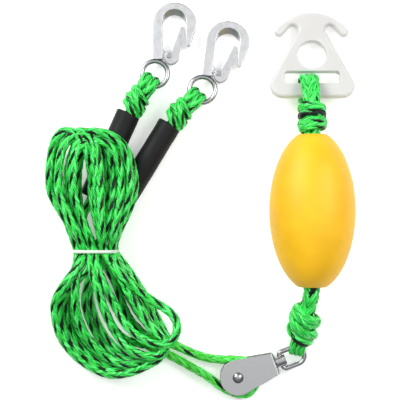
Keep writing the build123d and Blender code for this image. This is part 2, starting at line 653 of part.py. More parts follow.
# Quick connector: T head with two hooked notches, round hole, and a slot that leaves the bar.
down_plate = unit(90, -CONNECTOR_TILT)
plate_plane = Plane(
    origin=(BAR_XY[0], BAR_XY[1], bar_z), x_dir=(1, 0, 0), z_dir=Vector(1, 0, 0).cross(down_plate)
)
half_bar = BAR_WIDTH / 2
HOLE_Y = 35.6
with BuildPart() as quick_connector:
    with BuildSketch(plate_plane.offset(-CONNECTOR_THICKNESS / 2)):
        with BuildLine():
            for hand in (1, -1):
                base = Line((0, -half_bar), (hand * (CONNECTOR_HALF_WIDTH - 11.6), -half_bar))
                foot_side = (hand * (CONNECTOR_HALF_WIDTH - 2.0), -1.2)
                foot_top = (hand * (CONNECTOR_HALF_WIDTH - 0.6), 8.4)
                corner = ThreePointArc(base @ 1, foot_side, foot_top)
                flare = Line(corner @ 1, (hand * 15.0, 57.4))
                notch = ThreePointArc(flare @ 1, (hand * 14.6, 64.4), (hand * 21.2, 65.0))
                horn_under = Line(notch @ 1, (hand * 27.6, 56.8))
                ThreePointArc(horn_under @ 1, (hand * 33.6, 55.0), (hand * 35.8, 61.4))
            ThreePointArc((35.8, 61.4), (0, CONNECTOR_REACH), (-35.8, 61.4))
        make_face()
        fillet(vertices().filter_by(lambda corner: abs(corner.X) > 0.1), 1.0)
        with Locations((0, HOLE_Y)):
            Circle(CONNECTOR_HOLE_R, mode=Mode.SUBTRACT)
        with Locations((0, half_bar + SLOT_HEIGHT / 2)):
            RectangleRounded(SLOT_LENGTH, SLOT_HEIGHT, 3, mode=Mode.SUBTRACT)
    extrude(amount=CONNECTOR_THICKNESS)

    def on_a_face(edge):
        return abs(abs(plate_plane.to_local_coords(edge.center()).Z) - CONNECTOR_THICKNESS / 2) < 0.01

    def in_an_opening(edge):
        place = plate_plane.to_local_coords(edge.center())
        return abs(place.X) < SLOT_LENGTH / 2 + 1 and half_bar - 1 < place.Y < HOLE_Y + CONNECTOR_HOLE_R + 1

    fillet(quick_connector.edges().filter_by(on_a_face).filter_by(in_an_opening), 1.2)
    fillet(quick_connector.edges().filter_by(on_a_face).filter_by(in_an_opening, reverse=True), 3.2)
save(quick_connector.part, "quick_connector")
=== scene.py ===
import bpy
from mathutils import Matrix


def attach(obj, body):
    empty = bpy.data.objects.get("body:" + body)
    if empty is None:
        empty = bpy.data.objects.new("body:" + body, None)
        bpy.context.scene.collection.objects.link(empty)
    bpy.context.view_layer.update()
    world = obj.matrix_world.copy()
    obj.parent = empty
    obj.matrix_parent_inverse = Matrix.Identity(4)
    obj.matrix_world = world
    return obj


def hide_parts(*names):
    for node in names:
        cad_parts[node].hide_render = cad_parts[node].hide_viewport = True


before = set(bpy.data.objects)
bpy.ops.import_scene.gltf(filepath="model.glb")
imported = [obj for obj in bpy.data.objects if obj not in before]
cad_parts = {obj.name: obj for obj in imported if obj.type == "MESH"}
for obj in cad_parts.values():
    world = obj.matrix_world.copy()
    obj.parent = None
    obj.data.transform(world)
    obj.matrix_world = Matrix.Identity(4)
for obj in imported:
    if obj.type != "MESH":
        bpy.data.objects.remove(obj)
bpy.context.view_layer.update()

import math

import bmesh
import bpy
import numpy as np
from mathutils import Matrix, Vector

bl_info = {
    "name": "Boat Tow Harness",
    "version": (1, 0, 0),
    "blender": (4, 5, 0),
    "location": "View3D > Sidebar > Tow Harness",
    "description": "Builds a boat tow harness: hooks, tied hank of rope, pulley block, float and connector",
    "category": "Add Mesh",
}

MM = 0.001


# ------------------------------------------------------------------ settings
class TowRopeSettings(bpy.types.PropertyGroup):
    rope_diameter: bpy.props.FloatProperty(
        name="Rope diameter", description="Outside diameter of the harness rope",
        default=0.008, min=0.004, max=0.014, unit="LENGTH")
    lay_pitch: bpy.props.FloatProperty(
        name="Lay pitch", description="Length in which one strand goes once round the rope",
        default=0.064, min=0.02, max=0.12, unit="LENGTH")
    strand_width: bpy.props.FloatProperty(
        name="Strand width", description="Width of one flat strand of the twelve-strand braid",
        default=0.0037, min=0.001, max=0.008, unit="LENGTH")
    strand_thickness: bpy.props.FloatProperty(
        name="Strand thickness", description="Thickness of one flat strand",
        default=0.0016, min=0.0005, max=0.004, unit="LENGTH")
    leg_diameter: bpy.props.FloatProperty(
        name="Tow leg diameter", description="Outside diameter of the thick rope under the float",
        default=0.0166, min=0.008, max=0.03, unit="LENGTH")
    waist_height: bpy.props.FloatProperty(
        name="Waist height", description="Height of the hank's waist, found as the rope is laid",
        default=0.03, min=0.0, max=0.1, unit="LENGTH")
    green: bpy.props.StringProperty(
        name="Strand colour", description="sRGB hex colour of the bright strands", default="04D632")
    black: bpy.props.StringProperty(
        name="Tracer colour", description="sRGB hex colour of the tracer strands", default="07110B")


class TowGearSettings(bpy.types.PropertyGroup):
    float_colour: bpy.props.StringProperty(
        name="Float colour", description="sRGB hex colour of the foam float", default="F2B90E")
    sleeve_colour: bpy.props.StringProperty(
        name="Sleeve colour", description="sRGB hex colour of the foam sleeves", default="18181A")
    nylon_colour: bpy.props.StringProperty(
        name="Connector colour", description="sRGB hex colour of the moulded connector", default="CCCBC9")
    tie_width: bpy.props.FloatProperty(
        name="Tie width", description="Width of the tie round the hank's waist",
        default=0.0026, min=0.001, max=0.006, unit="LENGTH")


# ------------------------------------------------------------------ shared helpers
def linear(hex_colour):
    """Linear RGBA of an sRGB hex colour."""
    values = [int(hex_colour[k:k + 2], 16) / 255 for k in (0, 2, 4)]
    return [v / 12.92 if v <= 0.04045 else ((v + 0.055) / 1.055) ** 2.4 for v in values] + [1.0]


def add_node(tree, kind, settings=None, **inputs):
    """Adds a node, sets its own settings and its inputs; an input given as a socket is linked."""
    node = tree.nodes.new(kind)
    for key, value in (settings or {}).items():
        setattr(node, key, value)
    for key, value in inputs.items():
        by_index = key[0] == "i" and key[1:].isdigit()
        socket = node.inputs[int(key[1:]) if by_index else key.replace("_", " ")]
        if isinstance(value, bpy.types.NodeSocket):
            tree.links.new(value, socket)
        else:
            socket.default_value = value
    return node


def new_material(name):
    """An empty node material with its output, as (material, tree, output node)."""
    material = bpy.data.materials.new(name)
    material.use_nodes = True
    tree = material.node_tree
    tree.nodes.clear()
    return material, tree, add_node(tree, "ShaderNodeOutputMaterial")


def deselect():
    bpy.ops.object.select_all(action="DESELECT")


def collection_mesh(name, vertices, faces, face_materials, uvs, materials):
    """A mesh object at the origin with its materials and a UV map for its strands."""
    mesh = bpy.data.meshes.new(name)
    mesh.from_pydata(vertices.tolist(), [], faces.tolist())
    for material in materials:
        mesh.materials.append(material)
    mesh.polygons.foreach_set("material_index", face_materials)
    mesh.polygons.foreach_set("use_smooth", np.full(len(faces), True))
    layer = mesh.uv_layers.new(name="strand")
    layer.data.foreach_set("uv", uvs.reshape(-1))
    mesh.update()
    piece = bpy.data.objects.new(name, mesh)
    bpy.context.scene.collection.objects.link(piece)
    return piece


# ------------------------------------------------------------------ rope
def read_route(points, detail=10):
    """Points along the open NURBS spline that has these control points, in metres."""
    curve = bpy.data.curves.new("route", "CURVE")
    curve.dimensions = "3D"
    spline = curve.splines.new("NURBS")
    spline.points.add(len(points) - 1)
    for point, place in zip(spline.points, points):
        point.co = (*place, 1.0)
    spline.order_u = 3
    spline.use_endpoint_u = True
    spline.resolution_u = detail
    holder = bpy.data.objects.new("route", curve)
    bpy.context.scene.collection.objects.link(holder)
    mesh = bpy.data.meshes.new_from_object(holder)
    path = np.empty(len(mesh.vertices) * 3)
    mesh.vertices.foreach_get("co", path)
    bpy.data.objects.remove(holder)
    bpy.data.curves.remove(curve)
    bpy.data.meshes.remove(mesh)
    return path.reshape(-1, 3)


def along(path):
    """Distance of each point of a path from its start."""
    steps = np.linalg.norm(np.diff(path, axis=0), axis=1)
    return np.concatenate([[0.0], np.cumsum(steps)])


def even_steps(path, step):
    """The same path with its points a step apart."""
    run = along(path)
    count = max(8, int(round(run[-1] / step)))
    wanted = np.linspace(0, run[-1], count + 1)
    return np.stack([np.interp(wanted, run, path[:, k]) for k in range(3)], axis=1)


def carried_frame(path, first_normal=(0.0, 0.0, 1.0)):
    """Two normals at each point that are carried along the path without twist."""
    tangents = np.gradient(path, axis=0)
    tangents /= np.linalg.norm(tangents, axis=1)[:, None]
    normals = np.empty_like(path)
    normal = np.array(first_normal, dtype=float)
    normal -= tangents[0] * normal.dot(tangents[0])
    if np.linalg.norm(normal) < 0.1:
        normal = np.array((1.0, 0.0, 0.0)) - tangents[0] * tangents[0][0]
    normals[0] = normal / np.linalg.norm(normal)
    for k in range(1, len(path)):
        normal = normals[k - 1] - tangents[k] * normals[k - 1].dot(tangents[k])
        normals[k] = normal / np.linalg.norm(normal)
    return normals, np.cross(tangents, normals)


def braid(name, paths, materials, diameter=None, flat=(0.86, 1.10), pitch=None, step=0.0025,
          tracers=(0, 2, 4), first_normals=None, spread=(1.0, 1.0)):
    """Hollow twelve-strand braid along each path: six strands each way, over two and under two.

    flat is its height and width over its diameter, and spread widens it by shares from its start to its end.
    """
    rope = bpy.context.scene.tow_rope
    size = diameter or rope.rope_diameter
    scale = size / rope.rope_diameter
    pitch = pitch or rope.lay_pitch * scale
    half_width = rope.strand_width * scale / 2
    half_thickness = rope.strand_thickness * scale / 2
    weave = 0.05 * size
    mean_radius = size / 2 - half_thickness - weave
    sides = 6
    all_vertices, all_faces, all_materials, all_uvs = [], [], [], []
    base = 0
    for path, first_normal in zip(paths, first_normals or [(0.0, 0.0, 1.0)] * len(paths)):
        points = even_steps(np.asarray(path), step * max(1.0, scale * 0.8))
        run = along(points)
        normals, binormals = carried_frame(points, first_normal)
        wide = flat[1] * np.interp(run / run[-1], np.linspace(0, 1, len(spread)), spread)
        for strand in range(12):
            hand = 1 if strand < 6 else -1
            phase = 60 * (strand % 6) + (30 if hand < 0 else 0)
            angle = hand * 2 * math.pi * run / pitch + math.radians(phase)
            wave = np.cos(3 * (angle - math.radians(15)))
            lift = hand * weave * np.tanh(2.5 * wave) / np.tanh(2.5)
            radius = mean_radius + lift
            outward = normals * (flat[0] * np.cos(angle))[:, None]
            outward += binormals * (wide * np.sin(angle))[:, None]
            centre = points + outward * radius[:, None]
            direction = np.gradient(centre, axis=0)
            direction /= np.linalg.norm(direction, axis=1)[:, None]
            out = normals * (wide * np.cos(angle))[:, None]
            out += binormals * (flat[0] * np.sin(angle))[:, None]
            across = np.cross(direction, out)
            across /= np.linalg.norm(across, axis=1)[:, None]
            out = np.cross(across, direction)
            slot = 1 if hand > 0 and strand in tracers else 0
            slim = 0.82 if slot else 1.0
            rings = []
            for side in range(sides):
                turn = 2 * math.pi * side / sides
                flank = centre + across * half_width * slim * math.cos(turn)
                rings.append(flank + out * half_thickness * math.sin(turn))
            count = len(points)
            vertices = np.stack(rings, axis=1).reshape(-1, 3)
            row = np.arange(count - 1)[:, None] * sides + base
            column = np.arange(sides)[None, :]
            following = (column + 1) % sides
            faces = np.stack([row + column, row + sides + column, row + sides + following, row + following],
                             axis=-1)
            v0 = (run[:-1] / 0.01)[:, None] + np.zeros((1, sides))
            v1 = (run[1:] / 0.01)[:, None] + np.zeros((1, sides))
            u0 = (column / sides) + np.zeros((count - 1, 1)) + strand
            u1 = ((column + 1) / sides) + np.zeros((count - 1, 1)) + strand
            uv = np.stack([u0, v0, u0, v1, u1, v1, u1, v0], axis=-1)
            all_vertices.append(vertices)
            all_faces.append(faces.reshape(-1, 4))
            all_uvs.append(uv.reshape(-1))
            all_materials.append(np.full((count - 1) * sides, slot))
            # Each end of the strand is closed by two quads.
            last = base + (count - 1) * sides
            caps = []
            for start in (base, last):
                ring = [start + k for k in range(sides)]
                if start == base:
                    ring.reverse()
                caps += [[ring[0], ring[1], ring[2], ring[3]], [ring[3], ring[4], ring[5], ring[0]]]
            all_faces.append(np.array(caps))
            all_uvs.append(np.zeros(len(caps) * 8))
            all_materials.append(np.full(len(caps), slot))
            base += len(vertices)
    return collection_mesh(name, np.concatenate(all_vertices), np.concatenate(all_faces),
                           np.concatenate(all_materials), np.concatenate(all_uvs), materials)


# Places on the floor are in millimetres. Where the hank is tied, its passes lie in five columns.
COLUMNS = [-133.9, -125.8, -117.75, -109.6, -101.6]
WAIST_Y = -50.6
# Everything of the harness left of this line at the waist's height is the hank.
HANK_RIGHT = -92
SLEEVE_RADIUS = 11.9
SLEEVE_HEIGHT = 12.0
# A sleeve slides 15 mm along its rope, and the hank keeps clear of that.
SLIDE_ROOM = 17.0
# The top and bottom of each sleeve's axis.
SLEEVES = {
    "left": ((-86.2, 83.7, 12.0), (-122.8, 1.5, 12.0)),
    "right": ((-45.9, 73.0, 12.0), (-92.9, -3.7, 12.0)),
}
BLOCK_ROUTE = [
    (-69.9, -134.0, 4.2), (-46.9, -141.0, 4.2), (-25.9, -151.0, 5.7), (-4.9, -157.7, 8.82),
    (32.8, -157.3, 9.42), (41.4, -174.3, 9.42), (31.3, -193.8, 9.42), (9.2, -188.0, 9.42),
    (-8.9, -173.6, 8.82), (-28.9, -163.0, 5.7), (-49.9, -151.5, 4.2), (-71.9, -143.0, 4.2),
]


def mix(a, b, t):
    return [x + (y - x) * t for x, y in zip(a, b)]


OUTER_LOW = [(-160.5, -98), (-161, -114), (-157, -132), (-146, -150), (-128, -165), (-107, -173.5),
             (-84, -168.5), (-67, -159.5), (-55, -152.0)]
INNER_LOW = [(-100, -98), (-94, -112), (-87, -123), (-80.5, -131), (-74, -137), (-68, -141),
             (-62, -144), (-57, -146.0), (-53.0, -146.5)]
OUTER_UP = [(-57, -121), (-66, -103), (-78, -84), (-90, -66)]
INNER_UP = [(-71, -121), (-84, -101), (-95, -80), (-102, -64)]


def low_lobe(down, inward, back, tip):
    """Control points of one pass round the lower lobe: down its left side, the fold, up its right."""
    side = [mix(a, b, inward) for a, b in zip(OUTER_LOW, INNER_LOW)]
    points = [(COLUMNS[down], WAIST_Y)]
    points += [mix((COLUMNS[down], -64), (side[0][0], -64), 0.22)]
    points += [mix((COLUMNS[down], -80), (side[0][0], -80), 0.62)]
    points += side
    points += [(tip[0] - 4.0, tip[1] - 3.0), (tip[0] + 0.5, tip[1] + 3.2), (tip[0] - 2.0, tip[1] + 11.0)]
    points += [mix(a, b, back) for a, b in zip(OUTER_UP, INNER_UP)]
    return points


def high_lobe(up, down, left, right, apex):
    """Control points of one pass round the upper lobe: up its right side, over, and down its left."""
    shoulder = 22 + 0.62 * (apex[1] - 22)
    return [
        (COLUMNS[up], WAIST_Y),
        mix((COLUMNS[up], -34), (right, -34), 0.20),
        mix((COLUMNS[up], -14), (right, -14), 0.68),
        (right, 5),
        (right, 24),
        mix((right, shoulder), (apex[0], shoulder), 0.18),
        mix((right, apex[1] - 4), (apex[0], apex[1] - 4), 0.52),
        (apex[0], apex[1]),
        mix((apex[0], apex[1] - 3.5), (left, apex[1] - 3.5), 0.46),
        mix((apex[0], shoulder), (left, shoulder), 0.84),
        (left, 24),
        (left, 5),
        mix((left, -14), (COLUMNS[down], -14), 0.34),
        mix((left, -34), (COLUMNS[down], -34), 0.74),
    ]


# Each pass: its lobe and the columns it leaves and reaches at the waist. A low pass adds how far in its
# left side and its way back lie and where its fold is, a high pass its left and right sides and its apex.
FIRST_TURNS = [
    ("low", 1, 4, 0.02, 0.00, (-48.5, -144.5)), ("high", 4, 0, -161.5, -79.5, (-122, 66.0)),
    ("low", 0, 2, 0.27, 0.55, (-50.5, -149.5)), ("high", 2, 0, -147.0, -88.0, (-114, 59.0)),
    ("low", 0, 4, 0.19, 1.00, (-48.0, -141.0)), ("high", 4, 1, -134.0, -97.0, (-109, 62.0)),
    ("low", 1, 3, 0.60, 0.30, (-49.5, -146.5)), ("high", 3, 2, -157.0, -104.0, (-135, 64.5)),
    ("low", 2, 3, 0.50, 0.20, (-48.8, -148.0)), ("high", 3, 1, -142.0, -100.0, (-120, 61.5)),
]
FIRST_END = [(-100, -76), (-94, -96), (-88, -112), (-81, -124)]
SECOND_TURNS = [
    ("low", 3, 4, 0.13, 0.15, (-47.5, -142.5)), ("high", 4, 0, -154.5, -83.5, (-118, 64.0)),
    ("low", 0, 3, 0.40, 0.75, (-48.5, -146.0)), ("high", 3, 1, -160.0, -120.0, (-143, 65.0)),
    ("low", 1, 4, 0.07, 0.50, (-50.0, -144.0)), ("high", 4, 2, -140.0, -92.0, (-116, 56.5)),
    ("low", 2, 3, 0.80, 0.65, (-49.5, -143.5)), ("high", 3, 2, -137.0, -115.0, (-127, 58.0)),
    ("side", 2, 3), ("high", 3, 1, -151.0, -111.0, (-129, 64.5)),
]
SECOND_END = [(-117, -76), (-110, -96), (-104, -114), (-97, -129), (-86, -138.5)]
SIDE_PASS = [(-114, -68), (-105, -86), (-97, -104), (-89, -119), (-77, -130), (-64, -136), (-52, -138.5),
             (-42.5, -134.5), (-37.9, -125.5), (-38.6, -115.5), (-44.5, -107.5), (-54.9, -101.5), (-69, -93),
             (-84, -80), (-98, -66)]


def hank_route(sleeve, turns, ending, end_column, join):
    """Control points in the plane, from a sleeve's knot through the hank to the block's rope."""
    top, bottom = (Vector(p) for p in SLEEVES[sleeve])
    fall = (bottom - top).normalized()
    # The rope stays straight past the sleeve for longer than the sleeve's slide.
    points = [top - fall * 9, top + fall * 12, top + fall * 45, top + fall * 78]
    points += [bottom + fall * 8, bottom + fall * 21, bottom + fall * 32]
    points = [(p.x, p.y) for p in points]
    first = COLUMNS[turns[0][1]]
    points += [mix(points[-1], (first, WAIST_Y), 0.4), mix(points[-1], (first, WAIST_Y), 0.75)]
    for turn in turns:
        if turn[0] == "low":
            points += low_lobe(turn[1], *turn[3:])
        elif turn[0] == "high":
            points += high_lobe(*turn[1:])
        else:
            points += [(COLUMNS[turn[1]], WAIST_Y), *SIDE_PASS]
    points += [(COLUMNS[end_column], WAIST_Y), *ending, join]
    return points


def lay_down(route, stack, wide, tall, fixed_start, end_height):
    """Heights of a route's control points: on the floor, on the sleeves and on what was laid before.

    A rope closer than wide to one below lies up to tall above it. The first fixed_start points stay level.
    """
    flat = read_route([(x, y, 0.0) for x, y in route], 8)
    samples = even_steps(flat, 2.5)
    run = along(samples)
    floor = 4.7
    heights = np.full(len(samples), floor)
    chunk = 24
    slope = 0.42
    fixed_run = along(flat)[8 * (fixed_start - 1)]
    for start in range(0, len(samples), chunk):
        stop = min(len(samples), start + chunk)
        block = samples[start:stop]
        need = np.full(len(block), floor)
        gap = np.linalg.norm(block[:, None, :2] - stack[None, :, :2], axis=2)
        rise = tall * np.sqrt(np.maximum(0, 1 - (gap / wide)**2))
        near = np.where(gap < wide, stack[None, :, 2] + rise, 0)
        need = np.maximum(need, near.max(axis=1))
        for top, bottom in SLEEVES.values():
            axis = np.array(bottom[:2]) - np.array(top[:2])
            axis = axis * (1 + SLIDE_ROOM / np.linalg.norm(axis))
            share = np.clip(((block[:, :2] - np.array(top[:2])) @ axis) / (axis @ axis), 0, 1)
            gap = np.linalg.norm(block[:, :2] - (np.array(top[:2]) + share[:, None] * axis), axis=1)
            clear = SLEEVE_RADIUS + 4.6
            over = np.where(gap < clear, SLEEVE_HEIGHT + np.sqrt(np.maximum(0, clear**2 - gap**2)), 0)
            # A rope that has just left its own sleeve isn't lifted over it.
            need = np.maximum(need, np.where(run[start:stop] < fixed_run + 30, 0, over))
        held = run[start:stop] <= fixed_run
        need = np.where(held, SLEEVE_HEIGHT, need)
        spread = np.abs(run[start:stop][:, None] - run[start:stop][None, :])
        eased = (need[None, :] - slope * spread).max(axis=1)
        if start:
            eased = np.maximum(eased, heights[start - 1] - slope * (run[start:stop] - run[start - 1]))
        eased = np.where(held, SLEEVE_HEIGHT, eased)
        heights[start:stop] = eased
        stack = np.concatenate([stack, np.column_stack([block[:, :2], eased])])
    # The end goes down to where the block's rope starts.
    to_end = run[-1] - run
    blend = np.clip(1 - to_end / 45.0, 0, 1)
    heights = heights * (1 - blend) + end_height * blend
    # The tie squeezes the waist.
    squeeze = np.clip((np.abs(samples[:, 1] - WAIST_Y) - 4) / 20, 0, 1)
    heights = np.where(samples[:, 0] < HANK_RIGHT, np.minimum(heights, 25.0 + 25 * squeeze), heights)
    knots = []
    place = 0
    for x, y in route:
        window = slice(place, min(len(samples), place + 40))
        gap = np.linalg.norm(samples[window, :2] - np.array((x, y)), axis=1)
        place = place + int(gap.argmin())
        highest = float(heights[max(0, place - 3):place + 4].max())
        knots.append((x, y, SLEEVE_HEIGHT if len(knots) < fixed_start else highest))
    return knots, stack


def metres(points):
    return [tuple(v * MM for v in point) for point in points]


class HARNESS_OT_ropes(bpy.types.Operator):
    """Lays the harness rope: both halves wound into the hank and the bight round the sheave"""
    bl_idname = "harness.ropes"
    bl_label = "Rope and hank"

    def execute(self, context):
        rope = context.scene.tow_rope
        green = rope_material("pe_braid_green", rope.green)
        black = rope_material("pe_braid_black", rope.black, tracer=True)
        block_path = read_route(metres(BLOCK_ROUTE), 16)
        stack = even_steps(block_path / MM, 2.5)
        stack = stack[stack[:, 0] < -25]
        wide, tall = 8.2, 3.7
        first_plan = hank_route("left", FIRST_TURNS, FIRST_END, 2, BLOCK_ROUTE[0][:2])
        first, stack = lay_down(first_plan, stack, wide, tall, 6, BLOCK_ROUTE[0][2])
        second_plan = hank_route("right", SECOND_TURNS, SECOND_END, 1, BLOCK_ROUTE[-1][:2])
        second, stack = lay_down(second_plan, stack, wide, tall, 6, BLOCK_ROUTE[-1][2])
        rope.waist_height = 0.0
        for name, route, exit_point in (("rope_first_half", first, SLEEVES["left"][0]),
                                        ("rope_second_half", second, SLEEVES["right"][0])):
            path = read_route(metres(route), 12)
            at_waist = path[(np.abs(path[:, 1] / MM - WAIST_Y) < 2.5) & (path[:, 0] / MM < HANK_RIGHT)]
            rope.waist_height = max(rope.waist_height, float(at_waist[:, 2].max()))
            piece = braid(name, [path], (green, black))
            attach(piece, "harness")
            side = "left" if name == "rope_first_half" else "right"
            if side == "left":
                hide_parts("rope_hank", "sleeve_rope_left")
            else:
                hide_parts("side_loop", "sleeve_rope_right")
        bright = rope_material("pe_braid_yellow_green", "40E010")
        piece = braid("rope_block_bight", [block_path], (bright, black), tracers=(2,))
        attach(piece, "harness")
        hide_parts("block_rope")
        return {"FINISHED"}


class HARNESS_OT_tie(bpy.types.Operator):
    """Adds the thin tie that holds the hank at its waist"""
    bl_idname = "harness.tie"
    bl_label = "Hank tie"

    def execute(self, context):
        half_width = 21.2
        # The band lies round the ropes' outsides, just over their radius above the highest centre line.
        top = context.scene.tow_rope.waist_height / MM + 4.1
        corner = 9.0
        outline = []
        side = half_width - corner
        for centre_x, centre_z, start in ((side, top - corner, 0), (-side, top - corner, 90),
                                          (-side, corner, 180), (side, corner, 270)):
            for part in range(7):
                turn = math.radians(start + 15 * part)
                outline.append((centre_x + corner * math.cos(turn), centre_z + corner * math.sin(turn)))
        mesh = bpy.data.meshes.new("hank_tie_band")
        build = bmesh.new()
        width = context.scene.tow_gear.tie_width
        rows = []
        for shift in (-0.5, -0.25, 0.25, 0.5):
            swell = 0.35 if abs(shift) < 0.4 else 0.0
            row = []
            for x, z in outline:
                place_x = (COLUMNS[2] + x * (1 + swell / 21)) * MM
                place_z = (top / 2 + (z - top / 2) * (1 + swell / 14)) * MM
                row.append(build.verts.new((place_x, WAIST_Y * MM + shift * width, place_z)))
            rows.append(row)
        for low, high in zip(rows, rows[1:]):
            for k in range(len(outline)):
                n = (k + 1) % len(outline)
                build.faces.new((low[k], high[k], high[n], low[n]))
        build.to_mesh(mesh)
        build.free()
        band = bpy.data.objects.new("hank_tie_band", mesh)
        context.scene.collection.objects.link(band)
        wall = band.modifiers.new("wall", "SOLIDIFY")
        wall.thickness = 0.0008
        wall.offset = 0.0
        deselect()
        context.view_layer.objects.active = band
        band.select_set(True)
        bpy.ops.object.modifier_apply(modifier="wall")
        bpy.ops.object.shade_smooth_by_angle(angle=math.radians(50))
        band.data.materials.append(nylon_material("nylon_tie_white", "F6F7F7"))
        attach(band, "harness")
        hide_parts("hank_tie")
        return {"FINISHED"}


# ------------------------------------------------------------------ knots and tow leg
# Each hook knot: its lower end, the ring's centre and the height of the ring's wire, in millimetres.
HOOK_KNOTS = {
    "left": {"top": (-86.2, 83.7, 12.0), "ring": (-60.8, 122.2, 12.0), "wire_z": 11.04},
    "right": {"top": (-45.9, 73.0, 12.0), "ring": (-14.3, 106.6, 12.0), "wire_z": 11.04},
}
TOW_CROSSING = Vector((78.65, -145.09, 9.42))
TOW_BEND = Vector((90.4, -89.0, 41.0))
STOP_CENTRE = Vector((90.4, 78.3, 38.5))
STOP_DIP = math.radians(12)
BAR_CENTRE = Vector((88.9, 104.6, 18.64))
FLOAT_TOP_Y = 61.4


def knot_axes(axis):
    """Unit directions along a knot's axis, to its right and up."""
    axis = Vector(axis).normalized()
    right = axis.cross(Vector((0, 0, 1))).normalized()
    return axis, right, right.cross(axis)


def round_axis(centre, axis, places):
    """Smooth path in metres through places: distance along an axis, turn from its top and radius."""
    axis, right, up = knot_axes(axis)
    points = []
    for distance, turn, radius in places:
        angle = math.radians(turn)
        out = right * (radius * math.sin(angle)) + up * (radius * math.cos(angle))
        points.append((Vector(centre) + axis * distance + out) * MM)
    return read_route(points, 6)


def winding(centre, axis, shifts, radii, tilt, start=200):
    """Path of a rope wound round a knot, one tilted turn at each shift, with both ends tucked in."""
    places = []
    turns = len(shifts)
    for turn in range(0, 360 * turns + 1, 30):
        share = turn / 360
        distance = float(np.interp(share, [k + 0.5 for k in range(turns)], shifts))
        radius = float(np.interp(share, [k + 0.5 for k in range(turns)], radii))
        radius *= min(1.0, 0.35 + share / 0.25, 0.35 + (turns - share) / 0.25)
        lean = math.tan(math.radians(tilt)) * radius * math.sin(math.radians(start + turn))
        places.append((distance + lean, start + turn, radius))
    return round_axis(centre, axis, places)


def eye_path(wire_point, direction, bend_r, leg, offset, gather):
    """Path of one strand that comes along a direction, turns round a wire and goes back, in metres."""
    axis, right, up = knot_axes(direction)
    wire = Vector(wire_point) + right * offset
    inward = right * offset * gather
    points = [wire - axis * leg + up * bend_r * 0.8 - inward, wire - axis * leg * 0.55 + up * bend_r]
    for turn in range(90, -91, -30):
        angle = math.radians(turn)
        points.append(wire + axis * (bend_r * math.cos(angle)) + up * (bend_r * math.sin(angle)))
    points += [wire - axis * leg * 0.55 - up * bend_r, wire - axis * leg - up * bend_r * 0.8 - inward]
    return read_route([p * MM for p in points], 6)


class HARNESS_OT_hook_knots(bpy.types.Operator):
    """Ties the rope's two ends to the hooks' rings: an eye of two strands and a wound knot"""
    bl_idname = "harness.hook_knots"
    bl_label = "Hook knots"

    def execute(self, context):
        rope = context.scene.tow_rope
        green = rope_material("pe_knot_green", rope.green)
        black = rope_material("pe_knot_black", rope.black, tracer=True)
        for side, place in HOOK_KNOTS.items():
            top, ring = Vector(place["top"]), Vector(place["ring"])
            axis, right, up = knot_axes(ring - top)
            centre = top + axis * 13.9 + up * 1.2
            wire = top + axis * ((ring - top).length - 12.6 * 0.93)
            wire.z = place["wire_z"]
            wound = winding(centre, axis, (-8.6, -0.4, 7.4), (8.6, 9.2, 7.6), -27)
            over = round_axis(centre, axis, ((10, -115, 5), (9, -80, 8), (5, -40, 10.4), (-1, 4, 11.4),
                                             (-6.5, 45, 10.6), (-9.5, 85, 9), (-10.5, 120, 5)))
            eyes = [eye_path(wire, axis, 6.9, 15.0, offset, 0.35) for offset in (-4.2, 4.2)]
            piece = braid(f"hook_knot_{side}_rope", [wound, over, *eyes], (green, black), diameter=0.0088,
                          step=0.0016, flat=(0.80, 1.12), first_normals=[-up, -right, up, up])
            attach(piece, "harness")
            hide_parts(f"hook_knot_{side}")
        return {"FINISHED"}


